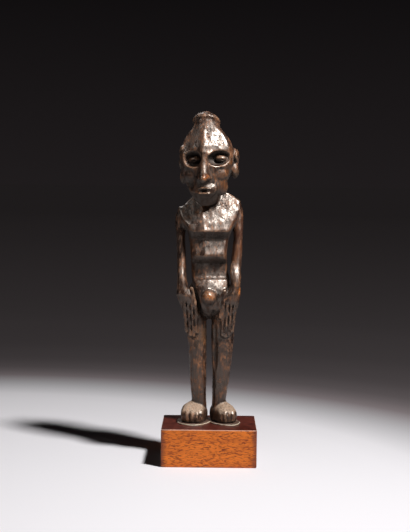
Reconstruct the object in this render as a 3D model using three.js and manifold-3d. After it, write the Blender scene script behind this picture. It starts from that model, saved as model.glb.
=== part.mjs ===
// A carved wooden figure, standing on a pale seating pad on its wooden block.
// Millimetres, +Z up. The figure faces -Y and +X is at the viewer's right.
// The origin is the middle of the block's underside.

import * as THREE from 'three';
import { mergeVertices } from 'three/addons/utils/BufferGeometryUtils.js';
import Module from 'manifold-3d';

const wasm = await Module();
wasm.setup();

// Driving dimensions

const BLOCK = { width: 75, depth: 62.5, height: 30, arris: 0.8 };
const PAD = { thickness: 1, side: 2.4, end: 4.2 };
const FIGURE_HEIGHT = 248;
const SOLE = BLOCK.height + PAD.thickness;
const TOP = SOLE + FIGURE_HEIGHT;

// Heights of the landmarks of the body
const LEVEL = {
  ankle: SOLE + 16,
  calf: SOLE + 43,
  knee: SOLE + 55,
  fingertips: SOLE + 66,
  crotch: SOLE + 85,
  knuckles: SOLE + 92,
  wrist: SOLE + 104,
  hips: SOLE + 114,
  waist: SOLE + 121,
  belly: SOLE + 135,
  ribs: SOLE + 151,
  shoulders: SOLE + 173,
};

// The head stands on its own axis, looks a little to the viewer's left and leans that way
const HEAD = { x: -2.2, y: 0.5, chin: SOLE + 173, height: 65, width: 44, turn: -10, lean: -2.5 };

// Heights of the features, as shares of the head's height above the chin
const FACE = { mouth: 0.18, nostrils: 0.265, noseTip: 0.35, ears: 0.48, eyes: 0.565, brow: 0.67 };

// Each foot's middle, width and turn in degrees
const FOOT_LENGTH = 32;
const FOOT_HEIGHT = 15;
const FEET = {
  left: { x: -12.3, y: 4, width: 21.6, turn: 6 },
  right: { x: 11.5, y: 4, width: 19, turn: -20 },
};

const FINGER_RADIUS = 1.8;
const SHOULDER_TILT = 0.16;

const FIGURE_WOOD = new THREE.MeshStandardMaterial({ color: 0x3a2418, roughness: 0.42, metalness: 0 });
const BLOCK_WOOD = new THREE.MeshStandardMaterial({ color: 0x8a4527, roughness: 0.4, metalness: 0 });
const PAD_WAX = new THREE.MeshStandardMaterial({ color: 0xd9cbb4, roughness: 0.7, metalness: 0 });

// Shaping helpers

// A smooth curve through stations [place, value]. It keeps the end values beyond its ends and
// never swings past a station.
function through(...stations) {
  const last = stations.length - 1;
  const rise = (i) => (stations[i + 1][1] - stations[i][1]) / (stations[i + 1][0] - stations[i][0]);
  const slopes = stations.map((_, i) => {
    if (i === 0) return rise(0);
    if (i === last) return rise(last - 1);
    const before = rise(i - 1);
    const after = rise(i);
    return before * after > 0 ? (2 * before * after) / (before + after) : 0;
  });
  return (place) => {
    if (place <= stations[0][0]) return stations[0][1];
    if (place >= stations[last][0]) return stations[last][1];
    const i = stations.findIndex(([at]) => at > place) - 1;
    const span = stations[i + 1][0] - stations[i][0];
    const t = (place - stations[i][0]) / span;
    const ease = t * t * (3 - 2 * t);
    const lift = t * (1 - t) * (1 - t) * slopes[i] - t * t * (1 - t) * slopes[i + 1];
    return stations[i][1] + (stations[i + 1][1] - stations[i][1]) * ease + lift * span;
  };
}

// Evenly spaced values from one end to the other, with any further ones put in their order
function spread(from, to, count, ...further) {
  const even = Array.from({ length: count }, (_, i) => from + ((to - from) * i) / (count - 1));
  return [...even, ...further].sort((a, b) => a - b);
}

const around = (sides) => Array.from({ length: sides }, (_, i) => (2 * Math.PI * i) / sides);

const signedPower = (value, power) => Math.sign(value) * Math.abs(value) ** power;

// A closed body of level rings, each a squared oval between its left, right, front and back.
// relief pushes a point back, in mm, and tilt raises it with its distance from the middle.
function column({ rings, angles, left, right, front, back, square = 2.4, relief, tilt }) {
  const places = [];
  const faces = [];
  const sides = angles.length;
  for (const level of rings) {
    const middle = [(left(level) + right(level)) / 2, (front(level) + back(level)) / 2];
    const half = [(right(level) - left(level)) / 2, (back(level) - front(level)) / 2];
    for (const angle of angles) {
      const x = middle[0] + half[0] * signedPower(Math.cos(angle), 2 / square);
      const y = middle[1] + half[1] * signedPower(Math.sin(angle), 2 / square);
      const push = relief ? relief(x, y, level, angle) : 0;
      const raise = tilt ? tilt(level) * (x - middle[0]) : 0;
      places.push(x, y + push, level + raise);
    }
  }
  for (let ring = 0; ring < rings.length - 1; ring += 1) {
    for (let side = 0; side < sides; side += 1) {
      const here = ring * sides + side;
      const next = ring * sides + ((side + 1) % sides);
      faces.push(here, next, here + sides, next, next + sides, here + sides);
    }
  }
  const endRing = (rings.length - 1) * sides;
  for (let side = 1; side < sides - 1; side += 1) {
    faces.push(0, side + 1, side);
    faces.push(endRing, endRing + side, endRing + side + 1);
  }
  const geometry = new THREE.BufferGeometry();
  geometry.setAttribute('position', new THREE.Float32BufferAttribute(places, 3));
  geometry.setIndex(faces);
  return solid(geometry);
}

function solid(geometry) {
  const bare = geometry.clone();
  bare.deleteAttribute('normal');
  bare.deleteAttribute('uv');
  const merged = mergeVertices(bare);
  const mesh = new wasm.Mesh({
    numProp: 3,
    vertProperties: merged.attributes.position.array,
    triVerts: Uint32Array.from(merged.index.array),
  });
  return new wasm.Manifold(mesh);
}

function geometryOf(body) {
  const mesh = body.getMesh();
  const geometry = new THREE.BufferGeometry();
  geometry.setAttribute('position', new THREE.BufferAttribute(mesh.vertProperties, 3));
  geometry.setIndex(Array.from(mesh.triVerts));
  return geometry;
}

const joined = (bodies) => bodies.reduce((whole, body) => whole.add(body));

const carved = (body, cutters) => cutters.reduce((rest, cutter) => rest.subtract(cutter), body);

// The matrix of a form that is sized, turned by degrees about X, Y and Z and then placed
function placing({ at = [0, 0, 0], size = [1, 1, 1], turn = [0, 0, 0] }) {
  const angles = turn.map(THREE.MathUtils.degToRad);
  const rotation = new THREE.Quaternion().setFromEuler(new THREE.Euler(...angles, 'ZYX'));
  return new THREE.Matrix4().compose(new THREE.Vector3(...at), rotation, new THREE.Vector3(...size));
}

// An oval lump or hollow with three half sizes
function oval({ at, size, turn, sides = 16, rows = 10 }) {
  const geometry = new THREE.SphereGeometry(1, sides, rows);
  return solid(geometry.applyMatrix4(placing({ at, size, turn })));
}

// A round-ended rod between two points, thinner towards its far end
function rod({ from, to, radius, end = radius, sides = 8 }) {
  const start = new THREE.Vector3(...from);
  const way = new THREE.Vector3(...to).sub(start);
  const length = way.length();
  const profile = [
    new THREE.Vector2(0, -radius * 0.6),
    new THREE.Vector2(radius * 0.8, -radius * 0.3),
    new THREE.Vector2(radius, radius * 0.5),
    new THREE.Vector2(end, length - end * 0.7),
    new THREE.Vector2(end * 0.75, length),
    new THREE.Vector2(0, length + end * 0.35),
  ];
  const geometry = new THREE.LatheGeometry(profile, sides);
  const up = new THREE.Vector3(0, 1, 0);
  const turn = new THREE.Quaternion().setFromUnitVectors(up, way.normalize());
  const size = new THREE.Vector3(1, 1, 1);
  return solid(geometry.applyMatrix4(new THREE.Matrix4().compose(start, turn, size)));
}

// The trunk: pelvis, belly and chest in one column, with ledges at the hips, belly and ribs.
// Its front is two planes that meet in an upright edge, a little to the viewer's left.
const TRUNK_EDGE = -5;
const TRUNK_SLOPE = 0.27;

function trunk() {
  const { crotch, hips, waist, belly, ribs, shoulders } = LEVEL;
  const bottom = crotch - 3.5;
  const top = shoulders + 13;
  const front = through([bottom, 2], [crotch, -1], [hips - 12, -10.4], [hips - 4, -8.2], [hips, -6.4],
    [hips + 2, -3.2], [waist, -2.4], [belly - 8, -3], [belly - 4.5, -8], [belly, -9.6],
    [belly + 5, -7.4], [belly + 9, -4], [ribs - 7, -4], [ribs - 2, -8], [ribs + 1.5, -11.4],
    [shoulders - 8, -6], [shoulders, -1.8], [shoulders + 9, 3], [top, 4.5]);
  const plane = (x, level) => front(level) + TRUNK_SLOPE * Math.abs(x - TRUNK_EDGE);
  return column({
    rings: spread(bottom, top, 17, hips, hips + 2, belly - 8, belly - 4.5, ribs - 2, ribs + 1.5),
    angles: around(22),
    left: through([bottom, -3], [crotch + 2, -8.3], [hips - 12, -12.4], [hips, -14.8], [waist, -15.7],
      [belly, -16.2], [ribs, -18.5], [shoulders - 14, -22.5], [shoulders - 4, -26.5], [shoulders + 1, -26.5],
      [shoulders + 4, -23], [shoulders + 9, -14.5], [top, -12]),
    right: through([bottom, 2.5], [crotch + 2, 8], [hips - 12, 13], [hips, 15.6], [waist, 13.1],
      [belly, 12.9], [ribs, 15.5], [shoulders - 14, 20], [shoulders - 4, 23.5], [shoulders + 1, 23.5],
      [shoulders + 4, 20.5], [shoulders + 9, 10.5], [top, 8]),
    front,
    back: through([bottom, 12], [crotch + 2, 15], [hips - 14, 17], [hips, 15.5], [belly - 8, 13.5],
      [belly + 4, 14.5], [ribs + 4, 17.5], [shoulders - 6, 18], [shoulders + 3, 15.5], [top, 14]),
    square: 2.6,
    relief: (x, y, level, angle) => (Math.sin(angle) < 0 ? Math.max(0, plane(x, level) - y) : 0),
    tilt: through([ribs + 2, 0], [shoulders - 4, SHOULDER_TILT]),
  });
}

// The seat: two plain lumps at the back of the hips
function buttocks() {
  const lumps = [-9, 8.4].map((x) => oval({
    at: [x, 9, LEVEL.hips - 14],
    size: [9.8, 11.5, 15],
    turn: [-8, 0, 0],
    sides: 12,
    rows: 8,
  }));
  return joined(lumps);
}

function pubis() {
  const knob = oval({ at: [-1, -10, LEVEL.wrist - 3.2], size: [6, 6, 6.2], sides: 14, rows: 8 });
  const root = oval({ at: [-0.6, -3.2, LEVEL.wrist - 6.5], size: [9.6, 7, 12.5], sides: 14, rows: 8 });
  return knob.add(root);
}

// Arms hang from the shoulders and come forward into flat hands on the fronts of the thighs.
// Each column thins into the web behind the fingers.

const ARMS = [
  {
    left: through([LEVEL.fingertips + 8, -18.8], [LEVEL.knuckles - 4, -21.8],
      [LEVEL.knuckles + 3, -24.8], [LEVEL.wrist, -27.2],
      [LEVEL.wrist + 12, -26.8], [LEVEL.belly + 6, -27.3], [LEVEL.ribs + 10, -28.6],
      [LEVEL.shoulders - 8, -28.6], [LEVEL.shoulders - 1, -26]),
    right: through([LEVEL.fingertips + 8, -11], [LEVEL.knuckles + 4, -12.2], [LEVEL.wrist + 2, -16.6],
      [LEVEL.wrist + 9, -18.8], [LEVEL.belly, -19.6], [LEVEL.ribs - 4, -20.6], [LEVEL.shoulders - 1, -17]),
    top: LEVEL.shoulders - 1,
    roots: [-20.9, -18, -15.1, -12.3],
    tips: [-18.4, -15.7, -13, -10.4],
    short: [3.5, 0.5, 0, 3],
    thumb: { from: [-15.2, -5.6, LEVEL.wrist + 4], to: [-10, -5.2, LEVEL.crotch] },
  },
  {
    left: through([LEVEL.fingertips + 8, 10], [LEVEL.knuckles + 4, 8.4], [LEVEL.wrist + 2, 14.2],
      [LEVEL.wrist + 9, 16.4], [LEVEL.belly, 16.6], [LEVEL.ribs - 4, 18.2], [LEVEL.shoulders + 4, 14]),
    right: through([LEVEL.fingertips + 8, 17.8], [LEVEL.knuckles - 4, 21.2],
      [LEVEL.knuckles + 3, 22.8], [LEVEL.wrist - 2, 24],
      [LEVEL.wrist + 12, 24.2], [LEVEL.belly + 6, 25], [LEVEL.ribs + 10, 25.8],
      [LEVEL.shoulders - 4, 25.6], [LEVEL.shoulders + 4, 23]),
    top: LEVEL.shoulders + 4,
    roots: [20, 17, 13.9, 10.6],
    tips: [17.7, 15, 12.4, 9.6],
    short: [4, 1.5, 0, 1],
    thumb: { from: [11.5, -5.6, LEVEL.wrist + 2], to: [7.4, -5.2, LEVEL.crotch - 2] },
  },
];

function arm({ left, right, top }) {
  const { fingertips, knuckles, wrist, belly, ribs, shoulders } = LEVEL;
  const end = fingertips + 8;
  return column({
    rings: spread(end, top, 15),
    angles: around(12),
    left,
    right,
    front: through([end, -3.6], [knuckles, -5], [knuckles + 5, -7.8], [wrist - 2, -8.8], [wrist + 10, -7],
      [belly - 3, -0.8], [ribs, 0.4], [shoulders - 10, 1.4], [top, 5]),
    back: through([end, 0], [knuckles + 5, 0], [wrist, 3.5], [wrist + 10, 7.5],
      [belly - 3, 12], [ribs, 13], [shoulders - 6, 14], [top, 11]),
    square: 2.5,
  });
}

// The fingers lie on the thigh, so the outer ones are further back
function fingers({ roots, tips, short, thumb }) {
  const size = { radius: FINGER_RADIUS, end: FINGER_RADIUS * 0.8, sides: 7 };
  const wrap = (x) => 3 * (Math.abs(x) / 20) ** 4;
  const long = roots.map((x, i) => rod({
    from: [x, -5.9 + wrap(x), LEVEL.knuckles + 5],
    to: [tips[i], -4 + wrap(tips[i]), LEVEL.fingertips + short[i] + FINGER_RADIUS],
    ...size,
  }));
  return joined([...long, rod({ ...thumb, ...size })]);
}

// Legs are straight posts, narrower at the ankles

const LEGS = [
  {
    left: through([LEVEL.ankle - 4, -14.2], [LEVEL.ankle + 2, -14.4], [LEVEL.calf - 6, -16.3],
      [LEVEL.knee, -17.1], [LEVEL.fingertips + 12, -19.8], [LEVEL.crotch + 4, -21.4], [LEVEL.wrist + 3, -16]),
    right: through([LEVEL.ankle - 4, -2.2], [LEVEL.calf, -2.5], [LEVEL.fingertips + 7, -2.8],
      [LEVEL.crotch - 4, -2.4], [LEVEL.wrist + 3, -6]),
  },
  {
    left: through([LEVEL.ankle - 4, 2.3], [LEVEL.calf, 1.6], [LEVEL.fingertips + 7, 0.9],
      [LEVEL.crotch - 4, 1], [LEVEL.wrist + 3, 5]),
    right: through([LEVEL.ankle - 4, 13.6], [LEVEL.ankle + 2, 13.9], [LEVEL.calf - 6, 16.5],
      [LEVEL.knee, 18.5], [LEVEL.fingertips + 12, 20], [LEVEL.crotch + 4, 21], [LEVEL.wrist + 3, 16]),
  },
];

function leg({ left, right }) {
  const { ankle, calf, knee, crotch, hips } = LEVEL;
  return column({
    rings: spread(ankle - 9, hips - 7, 11),
    angles: around(12),
    left,
    right,
    front: through([ankle - 4, 0.5], [calf - 10, -0.5], [knee, -2.6], [knee + 10, -2.6], [crotch - 4, -5],
      [hips - 7, -1]),
    back: through([ankle - 4, 14], [ankle + 6, 14.5], [calf, 17.4], [knee + 3, 15.4], [crotch, 18.5],
      [hips - 7, 17]),
    square: 2.5,
  });
}

// Feet are blunt and high, with five toes cut as upright ridges in front

const TOES = 5;
const TOE_GROOVE = 1.5;

// Ring angles for a foot: three steps to each toe across the front, then round the heel
function footAngles(square) {
  const steps = TOES * 3;
  const toes = Array.from({ length: steps + 1 }, (_, i) => {
    const across = (2 * i) / steps - 1;
    return 1.5 * Math.PI + Math.asin(signedPower(across, square / 2));
  });
  const heel = Array.from({ length: 7 }, (_, i) => (Math.PI * (i + 1)) / 8);
  return [...heel, ...toes];
}

function foot({ x, y, width, turn }) {
  const half = width / 2;
  const reach = FOOT_LENGTH / 2;
  const square = 2.5;
  const high = FOOT_HEIGHT;
  const side = through([0, half * 0.92], [3, half], [high * 0.48, half], [high * 0.64, half * 0.92],
    [high * 0.76, half * 0.8], [high * 0.88, half * 0.58], [high, half * 0.34]);
  const toeEdge = through([0, -reach + 1.2], [3, -reach], [high * 0.48, -reach + 0.4],
    [high * 0.64, -reach + 2], [high * 0.76, -reach + 6], [high, -reach + 14]);
  const heelEdge = through([0, reach - 1], [4, reach], [high * 0.6, reach - 1], [high, reach - 6]);
  const grooves = through([0, TOE_GROOVE], [high * 0.62, TOE_GROOVE], [high * 0.76, 0]);
  const body = column({
    rings: [0, 1.5, 4, 7, 9.5, 11.4, 13.2, high],
    angles: footAngles(square),
    left: (level) => -side(level),
    right: side,
    front: toeEdge,
    back: heelEdge,
    square,
    relief: (px, py, level, angle) => {
      if (Math.sin(angle) > -0.3) return 0;
      const across = (TOES * (px / side(level) + 1)) / 2;
      return grooves(level) * Math.abs(Math.cos(Math.PI * across)) ** 3;
    },
  });
  const place = placing({ at: [x, y, SOLE], turn: [0, 0, -turn] });
  return solid(geometryOf(body).applyMatrix4(place));
}

// The head: a cone of a skull over a pointed chin, in its own frame with the face towards -Y

const share = (part) => part * HEAD.height;

// The front of the head along its middle, from the chin up. The chin falls back under the lips.
const skullFront = through([0, -8.6], [share(0.05), -11.4], [share(0.12), -14.6], [share(0.18), -16.2],
  [share(0.4), -16],
  [share(0.62), -17.8], [share(0.69), -18], [share(0.76), -16], [share(0.85), -13], [share(0.93), -10.3],
  [share(1), -8.4]);

// The half width of the head, as a share of its widest, from the chin up
const skullSide = through([0, 0.17], [0.04, 0.34], [0.11, 0.51], [0.23, 0.73], [0.43, 0.93], [0.63, 1],
  [0.74, 0.9], [0.86, 0.71], [0.97, 0.45], [1, 0.43]);

// The jaw is cut back a little more at the viewer's right
const jawCut = through([0, 0], [share(0.12), 2.2], [share(0.3), 2.2], [share(0.5), 0]);

// The forehead is two planes that meet in an upright edge and fade out at the eyes
const FOREHEAD_SLOPE = 0.53;

function forehead(x, level) {
  const faded = through([share(0.57), 7], [share(0.68), 0], [share(0.9), 0], [share(1), 3])(level);
  return skullFront(level) + FOREHEAD_SLOPE * Math.abs(x) - faded;
}

function skull() {
  const { height, width } = HEAD;
  const half = width / 2;
  return column({
    rings: spread(0, height, 19),
    angles: around(28),
    left: (level) => -skullSide(level / height) * half,
    right: (level) => skullSide(level / height) * half - jawCut(level),
    front: skullFront,
    back: through([0, -4], [share(0.06), 0], [share(0.17), 9], [share(0.27), 14.5], [share(0.5), 19],
      [share(0.7), 19.5], [share(0.85), 15], [share(1), 9]),
    square: 2.1,
    relief: (x, y, level, angle) => (Math.sin(angle) < 0 ? Math.max(0, forehead(x, level) - y) : 0),
  });
}

function nose() {
  const tip = share(FACE.noseTip);
  const base = share(FACE.nostrils);
  const root = share(FACE.brow + 0.12);
  const half = through([base, 4.4], [tip - 1.5, 6.4], [tip + 3, 4.8], [tip + 12, 3], [root, 1.6]);
  return column({
    rings: spread(base, root, 8, tip - 1.5),
    angles: around(10),
    left: (level) => -half(level),
    right: half,
    front: through([base, -17.5], [tip - 1.5, -22.4], [tip + 3, -21.8], [tip + 12, -19.6],
      [share(FACE.brow), -18.6], [root, -14]),
    back: () => -11,
    square: 1.6,
  });
}

function face(head) {
  const bothSides = (make) => [-1, 1].map(make);
  const sockets = bothSides((side) => oval({
    at: [1.8 + side * 11.4, -14.6, share(FACE.eyes) + 0.2],
    size: [9.4 + side * 1.2, 9.2, 6.4],
    turn: [0, side * -8, side * 24],
  }));
  const cheeks = bothSides((side) => oval({
    at: [side * 15, -16.2, share(FACE.noseTip - 0.03)],
    size: [7.4, 9.2, 11.5],
    sides: 12,
    rows: 8,
  }));
  const eyes = bothSides((side) => oval({
    at: [1.6 + side * 10.8, -6, share(FACE.eyes) + 0.4],
    size: [5.6, 4.6, 3.4],
    turn: [0, side * -6, side * 24],
    sides: 12,
    rows: 8,
  }));
  const muzzle = oval({ at: [0, -12, share(FACE.mouth) - 0.4], size: [8.6, 6.8, 5.6], sides: 12, rows: 8 });
  const opening = oval({ at: [0, -19.2, share(FACE.mouth)], size: [3.6, 3.8, 1.5], sides: 10, rows: 6 });
  const nostrils = bothSides((side) => oval({
    at: [side * 2.9, -17.8, share(FACE.nostrils)],
    size: [1.4, 1.8, 1.4],
    sides: 6,
    rows: 4,
  }));
  const hollowed = carved(head, [...sockets, ...cheeks]);
  return carved(joined([hollowed, ...eyes, muzzle, nose()]), [opening, ...nostrils]);
}

// An ear: two flat lobes pressed to the head with a hollow in them
function ear(side) {
  const height = FACE.ears * HEAD.height + side * 1.6;
  const x = side * (HEAD.width / 2 - 1.2) + 0.8;
  const upper = oval({ at: [x, 5.5, height + 5], size: [3.6, 6, 7.5], sides: 12, rows: 8 });
  const lower = oval({ at: [x, 3.5, height - 5.5], size: [3.4, 4.8, 6.5], sides: 12, rows: 8 });
  const hollow = oval({ at: [x + side * 3.6, 1, height + 1], size: [2.2, 3, 7.5], sides: 8, rows: 6 });
  return carved(joined([upper, lower]), [hollow]);
}

// The cap: a low dome with a notched rim, leaning back on the round end of the cone
const CAP = { x: -0.2, y: 1, radius: 11, sunk: 0.5, lean: 28, notches: 16, notch: 0.7 };

function cap() {
  const { x, y, radius, sunk, lean, notches, notch } = CAP;
  const foot = HEAD.height - sunk;
  const height = TOP - HEAD.chin - foot;
  const dome = through([0, 0.86], [1.2, 0.99], [2.6, 1], [4, 0.93], [height * 0.62, 0.75],
    [height * 0.85, 0.45], [height, 0.1]);
  const cut = through([0, notch], [3, notch], [4.5, 0]);
  const body = column({
    rings: [0, 1.2, 2.8, 4.5, height * 0.58, height * 0.74, height * 0.9, height],
    angles: around(notches * 2),
    left: (level) => -dome(level) * radius,
    right: (level) => dome(level) * radius,
    front: (level) => -dome(level) * radius,
    back: (level) => dome(level) * radius,
    square: 2,
    relief: (px, py, level, angle) => -Math.sin(angle) * cut(level) * (Math.cos(notches * angle) < 0 ? 1 : 0),
  });
  const place = placing({ at: [x, y, foot], turn: [-lean, 0, 0] });
  const coneEnd = oval({ at: [x * 0.5, 0, foot], size: [9, 8.6, 8.6], sides: 14, rows: 8 });
  return solid(geometryOf(body).applyMatrix4(place)).add(coneEnd);
}

function neck() {
  const { x, y, chin } = HEAD;
  return column({
    rings: spread(chin - 14, chin + 21, 6),
    angles: around(14),
    left: through([chin - 14, x - 9], [chin, x - 9], [chin + 21, x - 12]),
    right: through([chin - 14, x + 9], [chin, x + 8.5], [chin + 21, x + 12]),
    front: through([chin - 14, y + 1], [chin, y - 1], [chin + 21, y - 6]),
    back: through([chin - 14, y + 8], [chin, y + 11], [chin + 21, y + 13]),
  });
}

function headPiece() {
  const whole = joined([face(skull()), ear(-1), ear(1), cap()]);
  const place = placing({ at: [HEAD.x, HEAD.y, HEAD.chin], turn: [0, HEAD.lean, HEAD.turn] });
  return solid(geometryOf(whole).applyMatrix4(place));
}

// The deep groove between the hand on the viewer's left and the belly
function groinGroove() {
  return oval({
    at: [-9.6, -8, (LEVEL.crotch + LEVEL.hips) / 2 - 2],
    size: [1.5, 9, 21],
    turn: [0, -16, 0],
    sides: 10,
    rows: 8,
  });
}

function carvedFigure() {
  const body = joined([trunk(), buttocks(), ...LEGS.map(leg), neck()]);
  const limbs = ARMS.flatMap((side) => [arm(side), fingers(side)]);
  const cut = carved(joined([body, pubis(), ...limbs]), [groinGroove()]);
  return joined([cut, foot(FEET.left), foot(FEET.right), headPiece()]);
}

// The block and the pad under the feet

function block() {
  const { width, depth, height, arris } = BLOCK;
  const half = [width / 2 - arris, depth / 2 - arris];
  const outline = new THREE.Shape();
  outline.moveTo(-half[0], -half[1]);
  outline.lineTo(half[0], -half[1]);
  outline.lineTo(half[0], half[1]);
  outline.lineTo(-half[0], half[1]);
  outline.closePath();
  const geometry = new THREE.ExtrudeGeometry(outline, {
    depth: height - 2 * arris,
    bevelThickness: arris,
    bevelSize: arris,
    bevelSegments: 1,
  });
  return solid(geometry.translate(0, 0, arris));
}

function pad() {
  const lobes = Object.values(FEET).map(({ x, y, width, turn }) => {
    const outline = new THREE.Shape();
    outline.absellipse(0, 0, width / 2 + PAD.side, FOOT_LENGTH / 2 + PAD.end, 0, 2 * Math.PI);
    const geometry = new THREE.ExtrudeGeometry(outline, {
      depth: PAD.thickness,
      bevelEnabled: false,
      curveSegments: 12,
    });
    return solid(geometry.applyMatrix4(placing({ at: [x, y, BLOCK.height], turn: [0, 0, -turn] })));
  });
  return joined(lobes);
}

function named(name, body, material) {
  const mesh = new THREE.Mesh(geometryOf(body), material);
  mesh.name = name;
  return mesh;
}

const model = new THREE.Group();
model.add(named('base_block', block(), BLOCK_WOOD));
model.add(named('seating_pad', pad(), PAD_WAX));
model.add(named('figure', carvedFigure(), FIGURE_WOOD));

export default model;
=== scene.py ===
# %% [markdown]
# # A carved standing figure on its block
#
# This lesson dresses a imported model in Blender. The real object is a small wooden figure, carved
# from one piece, dark and glossy from years of handling. It stands on a thin pale layer that
# fixes it to a red-brown wooden block. Three pieces are made here: the carving, the layer and
# the block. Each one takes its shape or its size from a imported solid, so nothing has to be
# fitted afterwards.

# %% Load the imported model
import math

import bpy
import numpy as np
from mathutils import Euler, Matrix, Vector


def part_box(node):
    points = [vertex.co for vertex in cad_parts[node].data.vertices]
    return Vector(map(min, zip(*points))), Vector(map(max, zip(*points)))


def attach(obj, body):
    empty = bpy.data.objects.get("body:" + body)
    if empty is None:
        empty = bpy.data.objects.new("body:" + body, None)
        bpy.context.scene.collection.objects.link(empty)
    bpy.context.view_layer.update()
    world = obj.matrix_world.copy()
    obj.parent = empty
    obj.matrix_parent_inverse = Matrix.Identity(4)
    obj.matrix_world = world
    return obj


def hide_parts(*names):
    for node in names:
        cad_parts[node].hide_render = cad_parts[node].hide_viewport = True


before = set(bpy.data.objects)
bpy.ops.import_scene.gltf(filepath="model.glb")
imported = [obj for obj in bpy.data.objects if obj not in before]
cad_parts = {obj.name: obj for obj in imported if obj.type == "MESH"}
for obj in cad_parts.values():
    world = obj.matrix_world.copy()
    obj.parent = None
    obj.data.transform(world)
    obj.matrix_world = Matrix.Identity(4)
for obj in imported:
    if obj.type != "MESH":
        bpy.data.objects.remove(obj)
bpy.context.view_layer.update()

# %% [markdown]
# ## Shaping helpers
#
# A carver thinks in lumps that are left standing and hollows that are cut away. These helpers
# do the same: a primitive is added at its place and size, and it is either joined to the wood
# or cut from it. Sizes are in millimetres and turns in degrees, because the carving is small.
# A form on the head is placed in the head's own frame, so that it turns and leans with it.

# %% Helpers that place a form
MM = 0.001
BODY = Matrix.Identity(4)
HEAD_FOOT = (-2.2, 0.5, 204)
HEAD_LEAN = -2.5
HEAD_TURN = -10
HEAD_ANGLES = Euler((0, math.radians(HEAD_LEAN), math.radians(HEAD_TURN)))
HEAD = Matrix.Translation(HEAD_FOOT) @ HEAD_ANGLES.to_matrix().to_4x4()


def spot(at, turn, on):
    """Where a primitive goes, in metres, and how it is turned."""
    angles = Euler([math.radians(angle) for angle in turn])
    place = on @ Matrix.Translation(at) @ angles.to_matrix().to_4x4()
    return {"location": place.translation * MM, "rotation": place.to_euler()}


def only(*pieces):
    """Select these pieces and nothing else."""
    bpy.ops.object.select_all(action="DESELECT")
    for piece in pieces:
        piece.select_set(True)
    bpy.context.view_layer.objects.active = pieces[0]


def settle(form):
    """Bake the form's place, turn and size into its mesh."""
    only(form)
    bpy.ops.object.transform_apply(location=True, rotation=True, scale=True)
    return form


def lump(at, size, turn=(0, 0, 0), on=BODY):
    """A rounded form with three half sizes."""
    bpy.ops.object.select_all(action="DESELECT")
    bpy.ops.mesh.primitive_uv_sphere_add(segments=32, ring_count=20, radius=MM, scale=size,
                                         **spot(at, turn, on))
    return settle(bpy.context.object)


def roll(at, radius, thickness, stretch, turn, on):
    """A ring of round section, stretched to an oval."""
    bpy.ops.object.select_all(action="DESELECT")
    bpy.ops.mesh.primitive_torus_add(major_radius=radius * MM, minor_radius=thickness * MM,
                                     major_segments=40, minor_segments=12, **spot(at, turn, on))
    ring = bpy.context.object
    ring.scale = stretch
    return settle(ring)


def both(make):
    """The same form on the viewer's left (-1) and right (1)."""
    return [make(side) for side in (-1, 1)]


# %% Helpers that join, cut and finish a piece
def gathered(forms, name):
    """Join forms into one object."""
    only(*forms)
    bpy.ops.object.join()
    forms[0].name = name
    forms[0].data.name = name
    return forms[0]


def finish(piece, kind, **settings):
    """Give a piece one modifier and apply it."""
    only(piece)
    modifier = piece.modifiers.new(kind.title(), kind)
    for key, value in settings.items():
        setattr(modifier, key, value)
    bpy.ops.object.modifier_apply(modifier=modifier.name)


def fuse(piece, voxel):
    """Give a piece one closed skin of small squares, with the side of a square in mm."""
    finish(piece, "REMESH", mode="VOXEL", voxel_size=voxel * MM)


def soften(piece, rounds):
    """Smooth a piece, a little in each round."""
    finish(piece, "SMOOTH", factor=0.5, iterations=rounds)


def carve(piece, cutters, voxel):
    """Cut the cutters out of the piece. They are fused first, so that they may overlap."""
    tool = gathered(cutters, "cutter")
    fuse(tool, voxel)
    finish(piece, "BOOLEAN", operation="DIFFERENCE", object=tool, solver="MANIFOLD")
    bpy.data.objects.remove(tool)


def copy_of_node(node, name):
    """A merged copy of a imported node, free to be changed."""
    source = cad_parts[node]
    copy = bpy.data.objects.new(name, source.data.copy())
    bpy.context.scene.collection.objects.link(copy)
    copy.data.materials.clear()
    only(copy)
    bpy.ops.object.mode_set(mode="EDIT")
    bpy.ops.mesh.select_all(action="SELECT")
    bpy.ops.mesh.remove_doubles(threshold=0.001 * MM)
    bpy.ops.object.mode_set(mode="OBJECT")
    return copy


def measured(piece):
    """Print a piece's size in millimetres and its number of triangles."""
    size = [round(length / MM, 1) for length in piece.dimensions]
    piece.data.calc_loop_triangles()
    print(piece.name, "measures", size, "mm and has", len(piece.data.loop_triangles), "triangles")


# %% [markdown]
# ## The camera
#
# The photo was taken from a little above the block, level with the chest, by a long lens. The
# camera stands a metre in front of the figure and tips down by under four degrees.

# %% The camera
CAMERA_PLACE = (0, -0.9995, 0.2219)
CAMERA_TIP = 3.78
CAMERA_PAN = 0.26
CAMERA_ROLL = 0.6

camera_data = bpy.data.cameras.new("camera")
camera_data.lens = 85
camera_data.sensor_width = 36
camera = bpy.data.objects.new("camera", camera_data)
bpy.context.scene.collection.objects.link(camera)
bpy.context.scene.camera = camera
camera_turn = (
    Matrix.Rotation(math.radians(CAMERA_PAN), 4, "Z")
    @ Matrix.Rotation(math.radians(90 - CAMERA_TIP), 4, "X")
    @ Matrix.Rotation(math.radians(CAMERA_ROLL), 4, "Z")
)
camera.location = CAMERA_PLACE
camera.rotation_euler = camera_turn.to_euler()
print("camera at", CAMERA_PLACE, "with a", camera_data.lens, "mm lens")

# %% [markdown]
# ## The studio
#
# The shadow on the floor falls to the left and a little back, it is nearly black, and its edge is
# fairly sharp. So one small, strong light does the work: high, in front and to the right. Three
# softer lights only touch the object, as if they were flagged off the floor. One widens the
# shine on the carving, one picks out its edges on the left, and one behind keeps the back from
# going black.

# %% Lights
TARGET = Vector((0, 0, 0.15))
object_only = bpy.data.collections.new("object_only")
carving_only = bpy.data.collections.new("carving_only")


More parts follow.
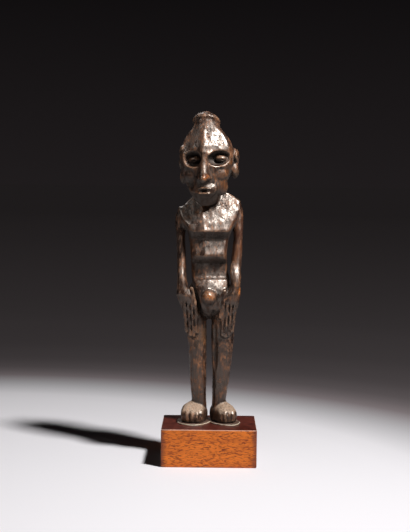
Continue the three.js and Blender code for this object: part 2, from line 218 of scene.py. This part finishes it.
def studio_light(name, place, size, power):
    """A square soft light that looks at the middle of the figure."""
    data = bpy.data.lights.new(name, "AREA")
    data.size = size
    data.energy = power
    light = bpy.data.objects.new(name, data)
    bpy.context.scene.collection.objects.link(light)
    light.location = place
    light.rotation_euler = (TARGET - Vector(place)).to_track_quat("-Z", "Y").to_euler()
    print(name, "gives", power, "W from a square of", size, "m")
    return light


studio_light("main_light", (0.56, -0.5, 1.21), 0.14, 25)
shine_light = studio_light("shine_light", (0.56, -0.6, 1.08), 0.24, 18)
left_light = studio_light("left_light", (-0.7, -0.46, 0.78), 0.25, 1.8)
back_light = studio_light("back_light", (-0.4, 0.7, 1.1), 0.4, 5)
shine_light.light_linking.receiver_collection = carving_only
left_light.light_linking.receiver_collection = carving_only
back_light.light_linking.receiver_collection = object_only
bpy.context.scene.view_settings.view_transform = "Standard"

# %% [markdown]
# ## Writing a material as sums
#
# A material is a small calculation that is done at every point of a surface. It is easier to
# read as sums than as a web of nodes, so this class wraps the output of a node and gives it
# the usual signs. Each sign adds a Math node. Colours are mixed by a Mix node instead, because
# a Math node would turn them grey.

# %% A value and its signs
class Value:
    """The output of a node, with the signs of arithmetic."""

    def __init__(self, recipe, socket):
        self.recipe = recipe
        self.socket = socket

    def sum(self, operation, *others):
        return self.recipe.add("Math", {"operation": operation}, dict(enumerate((self, *others))))

    def __add__(self, other):
        return self.sum("ADD", other)

    def __mul__(self, other):
        return self.sum("MULTIPLY", other)

    def __rsub__(self, other):
        return self * -1 + other

    def __abs__(self):
        return self.sum("ABSOLUTE")

    __radd__ = __add__
    __rmul__ = __mul__


# %% [markdown]
# ## A recipe for a finish
#
# Every other node comes from one method, which takes the kind of node, its settings, and the
# values or links of its sockets. The shorter methods below it are the maker's usual moves: find
# a place, make a pattern, stretch a value, mix two colours, raise a bump.

# %% The recipe
SOCKET_NAMES = {"specular": "Specular IOR Level"}


class Recipe:
    """The nodes of one material, or of the world round the object."""

    def __init__(self, owner):
        owner.use_nodes = True
        self.owner = owner
        self.tree = owner.node_tree
        self.tree.nodes.clear()

    def add(self, kind, settings=None, inputs=None, output=0):
        """Add a node: its settings first, then the values or links of its sockets."""
        node = self.tree.nodes.new("ShaderNode" + kind)
        for key, value in (settings or {}).items():
            if key == "stops":
                self.set_stops(node.color_ramp, value)
            else:
                setattr(node, key, value)
        by_identifier = {socket.identifier: socket for socket in node.inputs}
        for key, value in (inputs or {}).items():
            socket = by_identifier.get(key) or node.inputs[key]
            if isinstance(value, Value):
                self.tree.links.new(value.socket, socket)
            else:
                socket.default_value = value
        if not node.outputs:
            return None
        outputs = {socket.identifier: socket for socket in node.outputs}
        return Value(self, outputs.get(output) or node.outputs[output])

    def set_stops(self, ramp, stops):
        """Give a colour ramp its stops, each a place from 0 to 1 and a colour."""
        while len(ramp.elements) < len(stops):
            ramp.elements.new(0.5)
        for element, (place, tone) in zip(ramp.elements, stops):
            element.position = place
            element.color = tone

    def place(self, scale=(1, 1, 1)):
        """Points of the surface in the piece's own metres, stretched for a pattern."""
        coordinates = self.add("TexCoord", output="Object")
        return self.add("Mapping", None, {"Vector": coordinates, "Scale": scale})

    def along(self, vector, axis):
        """The part of a vector along one axis."""
        return self.add("SeparateXYZ", None, {"Vector": vector}, axis)

    def facing(self, axis):
        """How far the surface faces along an axis, from -1 to 1."""
        return self.along(self.add("NewGeometry", output="Normal"), axis)

    def away_from(self, centre):
        """The distance in metres from a place of the piece."""
        coordinates = self.add("TexCoord", output="Object")
        return self.add("VectorMath", {"operation": "DISTANCE"}, {0: coordinates, 1: centre}, "Value")

    def near(self, at, full, gone):
        """One up to full mm away from a place in mm, and nothing beyond gone mm."""
        centre = [length * MM for length in at]
        return self.between(self.away_from(centre), full * MM, gone * MM, 1, 0)

    def noise(self, place, scale, detail, roughness=0.5, twist=0):
        """A cloudy pattern, finer with a larger scale and more broken with more detail."""
        inputs = {"Vector": place, "Scale": scale, "Detail": detail, "Roughness": roughness,
                  "Distortion": twist}
        return self.add("TexNoise", None, inputs)

    def between(self, value, low, high, start=0, end=1):
        """Stretch the part of a value between low and high over the range from start to end."""
        inputs = {"Value": value, "From Min": low, "From Max": high, "To Min": start, "To Max": end}
        return self.add("MapRange", {"interpolation_type": "SMOOTHSTEP"}, inputs)

    def mix(self, factor, first, second):
        """The first colour, and more of the second where the factor is high."""
        inputs = {"Factor_Float": factor, "A_Color": first, "B_Color": second}
        return self.add("Mix", {"data_type": "RGBA"}, inputs, "Result_Color")

    def bump(self, height, depth, under=None):
        """A finer relief of the given depth in mm, laid over another one."""
        inputs = {"Height": height, "Distance": depth * MM, "Strength": 1}
        if under:
            inputs["Normal"] = under
        return self.add("Bump", None, inputs)

    def surface(self, **sockets):
        """The finished surface."""
        names = {SOCKET_NAMES.get(key, key.replace("_", " ").title()): value
                 for key, value in sockets.items()}
        shader = self.add("BsdfPrincipled", None, names, "BSDF")
        self.add("OutputMaterial", None, {"Surface": shader})
        print(self.owner.name, "has", len(self.tree.nodes), "nodes")
        return self.owner


def finish_called(name):
    """A recipe for a new material."""
    return Recipe(bpy.data.materials.new(name))


def colour(text):
    """A colour written as on a paint card, such as 8a4527, in Blender's linear light."""
    shares = [int(text[i:i + 2], 16) / 255 for i in (0, 2, 4)]
    linear = [share / 12.92 if share <= 0.04045 else ((share + 0.055) / 1.055) ** 2.4 for share in shares]
    return (*linear, 1)


# %% [markdown]
# ## The dark room
#
# Behind the object the room is nearly black. The background fades from one dark tone at the
# horizon to a darker one above it. It also gives the polished wood something faint to reflect.

# %% The dark room
HORIZON = (0.0135, 0.0112, 0.0118, 1)
OVERHEAD = (0.0045, 0.0038, 0.0041, 1)
FADE_HEIGHT = 0.16

room = Recipe(bpy.data.worlds.new("studio"))
bpy.context.scene.world = room.owner
upness = room.along(room.add("TexCoord", output="Generated"), "Z")
fade = {"stops": [(0, HORIZON), (FADE_HEIGHT, OVERHEAD)]}
darkness = room.add("ValToRGB", fade, {"Fac": upness}, "Color")
room.add("OutputWorld", None, {"Surface": room.add("Background", None, {"Color": darkness})})
print("the room has", len(room.tree.nodes), "nodes")

# %% [markdown]
# ## The floor
#
# The object stands on a pale studio sheet, and the pool of light round it is painted into the
# sheet's colour. Outside the pool the sheet is painted almost dark. One very large plane is enough:
# its colour goes from nearly white to dark with the distance from the pool's middle, which lies to
# the left of the object, away from the light. A faint painted glow far away joins the sheet to the
# room, so that no edge shows.

# %% The floor
FLOOR_WIDTH = 160
POOL_MIDDLE = (-0.25, -0.13, 0)
SHEET_REACH = 8
PAINTED_POOL_TONES = [(0, 0.84), (0.22, 0.84), (0.34, 0.8), (0.43, 0.76), (0.5, 0.45), (0.56, 0.2),
               (0.61, 0.105), (0.7, 0.06), (0.85, 0.042), (1.2, 0.03)]
SHEET_GLOW = [(0.5, 0), (0.75, 0.012), (1.1, 0.018), (2, 0.0175), (4, 0.015), (8, 0.0125)]


def pool_and_glow_colour(tone):
    """A tone of the painted pool of light or of the glow: a little purple where it is dark, and nearly
    neutral where it is pale.
    """
    green = tone * (0.97 if tone > 0.3 else 0.85)
    return (tone, green, green * 1.03, 1)


def by_distance(tones):
    """Stops of a ramp from tones given at distances in metres."""
    return {"stops": [(distance / SHEET_REACH, pool_and_glow_colour(tone)) for distance, tone in tones]}


bpy.ops.object.select_all(action="DESELECT")
bpy.ops.mesh.primitive_plane_add(size=FLOOR_WIDTH, location=(0, 0, 0))
floor = bpy.context.object
floor.name = "floor"
sheet = finish_called("studio_sheet")
share_of_reach = sheet.away_from(POOL_MIDDLE) * (1 / SHEET_REACH)
# Painted pool of light: the sheet is coloured pale near the pool's middle and dark farther out.
painted_pool = sheet.add("ValToRGB", by_distance(PAINTED_POOL_TONES), {"Fac": share_of_reach}, "Color")
sheet_glow = sheet.add("ValToRGB", by_distance(SHEET_GLOW), {"Fac": share_of_reach}, "Color")
floor.data.materials.append(sheet.surface(base_color=painted_pool, roughness=0.8, specular=0.1,
                                          emission_color=sheet_glow, emission_strength=1))
print("floor is", floor.dimensions.x, "m wide")

# %% [markdown]
# ## The block
#
# The mount is a sawn and planed block of red-brown hardwood, waxed by hand, so its edges are
# not knife sharp. A cube primitive is given the block's size. Its edges are bevelled, its faces
# are divided, and a very shallow cloud pattern makes it as uneven as a hand-planed face. The
# packed block gives the size, so the piece stays in its place.

# %% The block
BLOCK_EDGE = 0.9
BLOCK_SQUARE = 0.55
BLOCK_WAVE_LENGTH = 11
BLOCK_WAVE = 0.12

low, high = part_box("base_block")
bpy.ops.object.select_all(action="DESELECT")
bpy.ops.mesh.primitive_cube_add(size=1, location=(low + high) / 2, scale=high - low)
block = settle(bpy.context.object)
block.name = block.data.name = "wood_block"
bpy.ops.object.mode_set(mode="EDIT")
bpy.ops.mesh.select_all(action="SELECT")
bpy.ops.mesh.bevel(offset=BLOCK_EDGE * MM, segments=3, profile=0.6, affect="EDGES")
bpy.ops.object.mode_set(mode="OBJECT")
fuse(block, BLOCK_SQUARE)
soften(block, 2)

waves = bpy.data.textures.new("planed_waves", "CLOUDS")
waves.noise_scale = BLOCK_WAVE_LENGTH * MM
finish(block, "DISPLACE", texture=waves, texture_coords="LOCAL", strength=BLOCK_WAVE * MM, mid_level=0.5)
finish(block, "DECIMATE", ratio=0.12)
bpy.ops.object.shade_smooth_by_angle(angle=math.radians(35))
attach(block, "root")
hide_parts("base_block")
object_only.objects.link(block)
measured(block)

# %% [markdown]
# ## The pale layer
#
# A thin cushion of wax or putty squeezed out under the feet shows as a pale line with a soft,
# wandering edge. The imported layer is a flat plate, so a copy of it is remeshed finely, pushed in
# and out sideways by a cloud pattern, and smoothed until its rim is round.

# %% The pale layer
LAYER_SQUARE = 0.3
WANDER_LENGTH = 9
LAYER_WANDER = 1.6

layer = copy_of_node("seating_pad", "pad_layer")
fuse(layer, LAYER_SQUARE)
wander = bpy.data.textures.new("squeezed_edge", "CLOUDS")
wander.noise_scale = WANDER_LENGTH * MM
for axis in ("X", "Y"):
    finish(layer, "DISPLACE", texture=wander, texture_coords="LOCAL", direction=axis,
           strength=LAYER_WANDER * MM, mid_level=0.5)
soften(layer, 4)
finish(layer, "DECIMATE", ratio=0.3)
only(layer)
bpy.ops.object.shade_smooth()
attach(layer, "root")
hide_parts("seating_pad")
object_only.objects.link(layer)
measured(layer)

# %% [markdown]
# ## The carving: the larger forms
#
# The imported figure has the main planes. A copy of it is the rough-hewn blank, and lumps are
# joined to it where the carver left more wood. A voxel remesh fuses them into one skin, as
# sculptors do on screen, because it needs no care with seams. A long smoothing then blends the
# lumps into the planes round them. Heights on the head are measured up from its foot.

# %% The blank and the larger forms
SKIN_SQUARE = 0.5
BLANK_ROUNDS = 20
BROW = 44.5
EYES = 36.7
EYE_MIDDLE = 1.8
EYE_SPREAD = 10.8
CHEEKBONE = 24.5
NOSE_TIP = 21
MOUTH = 11.7
EAR = 31.2


def cheekbone(side):
    return lump((side * 12.4, -8, CHEEKBONE), (6, 3.6, 5.4), (0, side * -14, side * 30), HEAD)


def brow(side):
    return lump((1 + side * 10.8, -8.2, BROW - 1.2), (9, 3.6, 3), (0, side * 6, side * 27), HEAD)


def shoulder_blade(side):
    return lump((side * 10 - 0.8, 13, 190 + side * 2), (8.5, 5.6, 13), (0, side * 14, 0))


right_lower_cheek = lump((10.6, -7, 17.5), (6.4, 3.6, 10), (0, -14, 30), HEAD)
left_temple = lump((-17.2, -6.6, BROW - 0.4), (3.4, 3.8, 4.4), on=HEAD)
muzzle = lump((0.6, -10.8, MOUTH + 1.8), (9.6, 6.8, 6.6), on=HEAD)
right_forearm = lump((19.8, -2.9, 150), (4.6, 3, 12.5), (-25, 0, 13))
large_forms = [
    *both(cheekbone),
    right_lower_cheek,
    left_temple,
    muzzle,
    *both(brow),
    *both(shoulder_blade),
    right_forearm,
]
blank = copy_of_node("figure", "carved_figure")
carving = gathered([blank, *large_forms], "carved_figure")
fuse(carving, SKIN_SQUARE)
soften(carving, BLANK_ROUNDS)
measured(carving)

# %% [markdown]
# ## The carving: the marks of the blade
#
# The wood was dressed with short strokes of an adze or a shell blade, so its surface is made of
# many shallow scoops, longer than wide, with soft ridges between them. A Voronoi pattern rises
# from the middle of each cell to its border, which is just such a scoop. An empty stretches the
# pattern upwards. It comes before the face is cut, so that the features stay crisp.

# %% Scoops and slow waves
STROKE_STRETCH = 2.2
SCOOP_SIZE = 7
SCOOP_DEPTH = 0.8
WAVE_SIZE = 14
WAVE_DEPTH = 1.2

stretch = bpy.data.objects.new("stretch", None)
bpy.context.scene.collection.objects.link(stretch)
stretch.scale = (1, 1, STROKE_STRETCH)
bpy.context.view_layer.update()


def dress(piece, kind, size, depth):
    """Push the skin in and out by a pattern that is longer upwards."""
    pattern = bpy.data.textures.new("tool_marks", kind)
    pattern.noise_scale = size * MM
    finish(piece, "DISPLACE", texture=pattern, texture_coords="OBJECT", texture_coords_object=stretch,
           strength=depth * MM, mid_level=0.5)


dress(carving, "VORONOI", SCOOP_SIZE, SCOOP_DEPTH)
dress(carving, "CLOUDS", WAVE_SIZE, WAVE_DEPTH)
soften(carving, 2)
measured(carving)

# %% [markdown]
# ## The carving: fingers and toes
#
# Each hand lies flat on a thigh, and each foot has a blunt front. The fingers and the toes are
# only parted by narrow gouge cuts, so that is how they are made here: long thin lumps which will
# be cut out of the wood. The fingers fan in a little, so each one has its place across at the
# knuckles and at its tip. A foot has its middle, its turn outwards and its width at the toes.

# %% Cutters for the fingers
KNUCKLES = 133
FINGERTIPS = 95
FINGERS = {
    "left": [(-20.9, -18.4), (-18, -15.7), (-15.1, -13), (-12.3, -10.4)],
    "right": [(20, 17.7), (17, 15), (13.9, 12.4), (10.6, 9.6)],
}
FINGER_CUT = (0.65, 2.4, (KNUCKLES - FINGERTIPS) / 2)
FINGER_CUT_LEAN = 4.5
HAND_FRONT = -6.9
HAND_WRAP = 3
HAND_REACH = 20


def finger_cuts(fingers):
    """Grooves down a hand, between each finger and the next. The outer ones lie further back."""
    grooves = []
    for (root, tip), (next_root, next_tip) in zip(fingers, fingers[1:]):
        top = (root + next_root) / 2
        foot = (tip + next_tip) / 2
        middle = (top + foot) / 2
        slope = math.degrees(math.atan2(top - foot, KNUCKLES - FINGERTIPS))
        depth = HAND_FRONT + HAND_WRAP * (abs(middle) / HAND_REACH) ** 4
        place = (middle, depth, (KNUCKLES + FINGERTIPS) / 2)
        grooves.append(lump(place, FINGER_CUT, (FINGER_CUT_LEAN, slope, 0)))
    return grooves


# %% Cutters for the toes
FEET = {"left": ((-12.3, 4, 31), -6, 21.6), "right": ((11.5, 4, 31), 20, 19)}
TOE_CUT = (0.55, 3, 7.4)
TOE_CUT_LEAN = -16
TOE_CUT_HEIGHT = 4.4
TOE_FRONT = -15.6
TOE_ROUND = 0.012


def toe_cuts(middle, turn, width):
    """Four upright cuts in the front of a foot, which curves back towards its sides."""
    foot = Matrix.Translation(middle) @ Matrix.Rotation(math.radians(turn), 4, "Z")
    pitch = width / 5
    across = [(step - 1.5) * pitch for step in range(4)]
    return [lump((x, TOE_FRONT + TOE_ROUND * x * x, TOE_CUT_HEIGHT), TOE_CUT, (TOE_CUT_LEAN, 0, 0), foot)
            for x in across]


# %% [markdown]
# ## The carving: what is cut away
#
# Then the gouge: the eye hollows, the middle of the belly and the navel, the inner half of the
# right leg, the groove of the spine, and the cuts that part the fingers and the toes. All the
# cutters are fused first and taken away in one cut.

# %% The cuts
SOCKET_SPREAD = 11
CUTTER_SQUARE = 0.35


def eye_hollow(side):
    return lump((EYE_MIDDLE + side * SOCKET_SPREAD, -14.8, EYES + 0.2), (8.8 + side * 1.2, 9.6, 6),
                (0, side * -8, side * 24), HEAD)


belly_dip = lump((-5, -13.4, 164), (3, 4.4, 6))
inner_right_leg = lump((2.6, -7.5, 82), (5.2, 9, 40))
navel = lump((-5.2, -9, 161), (1.3, 2.2, 1.5))
spine = lump((-1, 19.4, 168), (1.6, 3.4, 34))
cuts = [
    *both(eye_hollow),
    belly_dip,
    inner_right_leg,
    navel,
    *finger_cuts(FINGERS["left"]),
    *finger_cuts(FINGERS["right"]),
    spine,
    *toe_cuts(*FEET["left"]),
    *toe_cuts(*FEET["right"]),
]
print(len(cuts), "cutters")
carve(carving, cuts, CUTTER_SQUARE)
measured(carving)

# %% [markdown]
# ## The face and the ears
#
# Each eye is an almond-shaped ball left standing in its hollow. The nose has a round tip. The
# lips are thin rolls round a small open mouth, and each ear has a raised rim. They are small, so
# they come late and are fused with a light smoothing.

# %% Small forms
def eye(side):
    """The ball of one eye."""
    place = (EYE_MIDDLE + side * EYE_SPREAD, -6.6, EYES)
    return lump(place, (4.8, 3.6, 2.8), (0, side * 8, side * 20), HEAD)


def upper_lip(side):
    return lump((side * 2.6, -17.6, MOUTH + 1.9), (3.2, 1.7, 0.8), (0, side * 8, side * 14), HEAD)


def ear_rim(side):
    return roll((side * 22.6 + 0.8, 5, EAR + side * 1.6 + 5), 4.2, 0.9, (1, 1.3, 1), (0, 90, 0), HEAD)


nose_tip = lump((0, -20.6, NOSE_TIP - 0.2), (2.6, 2.4, 3), on=HEAD)
lower_lip = lump((0, -17.6, MOUTH - 2.1), (5, 1.9, 0.8), on=HEAD)
small_forms = [*both(eye), nose_tip, *both(upper_lip), lower_lip, *both(ear_rim)]
carving = gathered([carving, *small_forms], "carved_figure")
fuse(carving, SKIN_SQUARE)
soften(carving, 1)
measured(carving)

# %% [markdown]
# ## The finest cuts
#
# Last come the thin cuts that a voxel remesh would blur: nostrils, mouth and the slits under the
# lids, and the ribs of the cap. They are taken straight from the finished skin, so their edges
# stay sharp.

# %% Fine cuts
CAP_MIDDLE = (-0.2, 1, 64.5)
CAP_LEAN = -28
CAP = HEAD @ Matrix.Translation(CAP_MIDDLE) @ Matrix.Rotation(math.radians(CAP_LEAN), 4, "X")
CAP_RIBS = 16
FINE_CUTTER_SQUARE = 0.3


def nostril(side):
    return lump((side * 2.5, -18.8, NOSE_TIP - 4.4), (1.3, 2, 1.5), on=HEAD)


def lid_slit(side):
    place = (EYE_MIDDLE + side * EYE_SPREAD, -10.4, EYES - 0.7)
    return lump(place, (3.8, 1.6, 0.4), (0, side * 8, side * 20), HEAD)


def cap_cut(step):
    """A groove up the side of the cap, from its rim towards its crown."""
    around = 360 / CAP_RIBS * (step + 0.5)
    rib = CAP @ Matrix.Rotation(math.radians(around), 4, "Z")
    return lump((11.2, 0, 2.8), (0.9, 0.5, 4.6), (0, -28, 0), rib)


mouth = lump((0, -19.4, MOUTH), (3.4, 3.6, 1.1), on=HEAD)
cap_cuts = [cap_cut(step) for step in range(CAP_RIBS)]
carve(carving, [*both(nostril), mouth, *both(lid_slit), *cap_cuts], FINE_CUTTER_SQUARE)
measured(carving)

# %% [markdown]
# ## The last roughness
#
# Old wood is never smooth: insects, handling and drying leave it slightly pitted. A small cloud
# pattern gives that. The mesh is then thinned to under 200,000 triangles, because flat places
# need fewer of them than lips and toes do.

# %% Roughness and thinning
PIT_SIZE = 1.8
PIT_DEPTH = 0.22
KEPT_SHARE = 0.49

dress(carving, "CLOUDS", PIT_SIZE, PIT_DEPTH)
finish(carving, "DECIMATE", ratio=KEPT_SHARE)
bpy.data.objects.remove(stretch)
only(carving)
bpy.ops.object.shade_smooth()
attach(carving, "root")
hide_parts("figure")
object_only.objects.link(carving)
carving_only.objects.link(carving)
measured(carving)

# %% [markdown]
# ## Where hands and dirt have been
#
# Ridges are rubbed bright and hollows keep the dark. Blender's dirt operator measures how
# hollow each point is and keeps it as a colour on the mesh, which the material can then read.
# Its tones crowd together, so each point gets its rank instead: 0 is the deepest hollow, 1 the
# sharpest ridge, and 0.5 has as many points below it as above.

# %% Hollows and ridges
only(carving)
bpy.ops.geometry.color_attribute_add(name="wear", domain="POINT", data_type="FLOAT_COLOR", color=(1, 1, 1, 1))
bpy.ops.paint.vertex_color_dirt(blur_strength=1, blur_iterations=14, clean_angle=math.radians(170),
                                dirt_angle=math.radians(20), dirt_only=False, normalize=True)
wear = carving.data.color_attributes["wear"]
tones = np.empty(4 * len(wear.data), dtype=np.float32)
wear.data.foreach_get("color", tones)
ranks = tones[::4].argsort(kind="stable").argsort(kind="stable") / (len(wear.data) - 1)
wear.data.foreach_set("color", np.stack([ranks, ranks, ranks, np.ones_like(ranks)], axis=1).ravel())
print("ranked", len(ranks), "points by how hollow they are")

# %% [markdown]
# ## The finish of the carving: its colour
#
# The wood is almost black with old smoke and oil. Under the dark skin it is brown, which shows in
# patches and flecks, and ridges are rubbed paler. A few places are worn down to orange wood, and
# a light brown patch on the inner left thigh is painted light. Undersides are painted near black
# as shade, and pale dust and a painted highlight lie on top of the feet. The grain runs
# upwards, so its noise is squeezed in height.

# %% The patterns of the old wood
skin = finish_called("figure_wood")
even_place = skin.place()
grain = skin.noise(skin.place((1, 1, 0.12)), scale=900, detail=4, roughness=0.6, twist=0.4)
patches = skin.noise(even_place, scale=75, detail=5, roughness=0.62, twist=0.3)
flecks = skin.noise(skin.place((1, 1, 0.5)), scale=330, detail=4, roughness=0.68, twist=0.4)
crumbs = skin.noise(even_place, scale=900, detail=3, roughness=0.7)

wear_map = skin.add("VertexColor", {"layer_name": "wear"}, output="Color")
ridge = skin.between(wear_map, 0.72, 0.98)
hollow = skin.between(wear_map, 0.3, 0.05)
print("the patterns take", len(skin.tree.nodes), "nodes")

# %% Dark skin, brown wood and rubbed places
dark = skin.mix(skin.between(grain, 0.35, 0.65), colour("0e0705"), colour("2c1a12"))
brown = skin.mix(skin.between(grain, 0.35, 0.7), colour("472613"), colour("8a5326"))
shown = skin.between(patches, 0.46, 0.68) * 0.45 + skin.between(flecks, 0.52, 0.62) * 0.5
base = skin.mix(shown, dark, brown)
base = skin.mix(ridge * 0.4, base, colour("7a5c46"))

# Each place in mm, how far the wear or painted light is full and where it ends in mm, its colour and
# strength.
RUBBED_AND_LIT = [
    ((-1, -16, 132), 2, 7, "96551f", 0.75),
    ((24, -4, 136), 2, 5, "b4682c", 0.9),
    ((-4, -21, 226), 1, 4.5, "9a5526", 0.8),
    # Painted light: this light brown patch on the inner left thigh stands in for the light that falls there.
    ((-5, -4, 100), 3, 14, "5f4830", 0.4),
    ((24, 2, 180), 6, 26, "4a271a", 0.6),
]
for at, full, gone, shade, strength in RUBBED_AND_LIT:
    mask = skin.near(at, full, gone) * skin.between(crumbs, 0.4, 0.62) * strength
    base = skin.mix(mask, base, colour(shade))
base = skin.mix(hollow * 0.85, base, colour("090605"))
print("worn through in", len(RUBBED_AND_LIT), "places")

# %% Painted underside shade, and dust with a painted highlight
# Heights in mm: the dust and painted highlight are full up to the first one and gone at the second.
DUST_AND_HIGHLIGHT_FULL = 46
DUST_AND_HIGHLIGHT_GONE = 50

lay = skin.facing("Z")
# Painted shade: faces turned down, such as under the chin and the ledges, are painted near black and made
# duller.
underside_shade = skin.between(lay, -0.1, -0.5)
base = skin.mix(underside_shade * 0.8, base, colour("070504"))
low_down = skin.between(skin.along(even_place, "Z"), DUST_AND_HIGHLIGHT_FULL * MM, DUST_AND_HIGHLIGHT_GONE * MM, 1, 0)
# Dust and painted highlight: faces turned up on the feet are painted pale, partly as dust and partly as the
# light that falls on them.
dust_and_highlight = skin.between(lay, 0.25, 0.8) * low_down * skin.between(crumbs, 0.3, 0.55)
base = skin.mix(dust_and_highlight * 0.8, base, colour("87725f"))
print("the colour takes", len(skin.tree.nodes), "nodes")

# %% [markdown]
# ## The finish of the carving: its shine
#
# Handled wood shines in patches, and the brown flecks between them are duller. Hollows and
# dust are duller still, because no hand polishes them, and so are the undersides painted as shade.
# The grain and the crumbs also stand up a little, which breaks the shine as real wood does.

# %% The shine of the old wood
GRAIN_DEPTH = 0.08
CRUMB_DEPTH = 0.06

crumb_bump = skin.bump(crumbs, CRUMB_DEPTH, skin.bump(grain, GRAIN_DEPTH))
dull_flecks = skin.between(flecks, 0.46, 0.6, 0, 0.28)
gloss = skin.between(patches, 0.38, 0.66, 0.27, 0.42) + dull_flecks + hollow * 0.35 + underside_shade * 0.3 + dust_and_highlight * 0.2
carving.data.materials.clear()
carving.data.materials.append(skin.surface(base_color=base, roughness=gloss, specular=0.9,
                                           specular_tint=(1, 0.85, 0.74, 1), normal=crumb_bump))

# %% [markdown]
# ## The finish of the block
#
# The block's wood shows ray fleck: short wavy dashes, brighter than the wood between them, that
# run across the front. The ends are dark end grain, stain has gathered at the margins, and a
# highlight is painted pale along the upper edges. The top is darker. Wax makes all of it a
# little glossy.

# %% The wood of the block
waxed = finish_called("block_wood")
sway = waxed.noise(waxed.place((0.5, 0.5, 1)), scale=120, detail=2)
sway_place = waxed.add("VectorMath", {"operation": "MULTIPLY_ADD"},
                       {0: waxed.add("CombineXYZ", None, {"Z": sway}), 1: (1, 1, 0.004), 2: waxed.place()})
fleck_place = waxed.add("Mapping", None, {"Vector": sway_place, "Scale": (0.2, 0.2, 1)})
fleck = waxed.noise(fleck_place, scale=1500, detail=2, roughness=0.55, twist=0.5)
streak = waxed.noise(waxed.place((0.15, 0.15, 1)), scale=160, detail=3, twist=0.3)
warm = waxed.mix(waxed.between(fleck, 0.32, 0.56), colour("74300f"), colour("dd7623"))
warm = waxed.mix(waxed.between(streak, 0.4, 0.65) * 0.35, warm, colour("9c4416"))
print("the wood of the block takes", len(waxed.tree.nodes), "nodes")

# %% Margins, end grain, top and painted edge highlight
MARGIN_STARTS = 35.5
MARGIN_FULL = 40
STAIN_WANDER = 6
PORE_DEPTH = 0.06

stain = waxed.noise(waxed.place(), scale=90, detail=2)
from_middle = abs(waxed.along(waxed.place(), "X")) + stain * (STAIN_WANDER * MM)
margin = waxed.between(from_middle, MARGIN_STARTS * MM, MARGIN_FULL * MM)
warm = waxed.mix(margin * 0.7, warm, colour("5a2a22"))
end_grain = waxed.between(abs(waxed.facing("X")), 0.5, 0.9)
warm = waxed.mix(end_grain, warm, colour("42200f"))
upward = waxed.facing("Z")
topside = waxed.between(upward, 0.6, 0.95)
# Painted highlight: edges turned partly up are painted pale, where the light catches them.
painted_edge_highlight = waxed.between(upward, 0.15, 0.4) * (1 - topside)
top_tone = waxed.mix(waxed.between(fleck, 0.4, 0.62), colour("3c1610"), colour("5c261a"))
block_base = waxed.mix(topside, warm, top_tone)
block_base = waxed.mix(painted_edge_highlight * 0.7, block_base, colour("d8b4a0"))
pores = waxed.noise(waxed.place((0.3, 0.3, 1)), scale=1800, detail=2, roughness=0.6)
block_gloss = waxed.between(fleck, 0.4, 0.6, 0.34, 0.42)
block.data.materials.append(waxed.surface(base_color=block_base, roughness=block_gloss, specular=0.3,
                                          normal=waxed.bump(pores, PORE_DEPTH)))

# %% [markdown]
# ## The finish of the pale layer
#
# Wax or putty is matt and cream-coloured. Its top is darker, so only the rim
# shows pale.

# %% The pale wax
WAX_DEPTH = 0.2

wax = finish_called("pad_wax")
wax_cloud = wax.noise(wax.place(), scale=300, detail=4, roughness=0.6)
wax_base = wax.mix(wax.between(wax_cloud, 0.35, 0.7), colour("cdb99a"), colour("f4ead6"))
wax_top = wax.between(wax.facing("Z"), 0.75, 0.97)
wax_base = wax.mix(wax_top * 0.95, wax_base, colour("4a2c20"))
layer.data.materials.append(wax.surface(base_color=wax_base, roughness=0.6,
                                        normal=wax.bump(wax_cloud, WAX_DEPTH)))
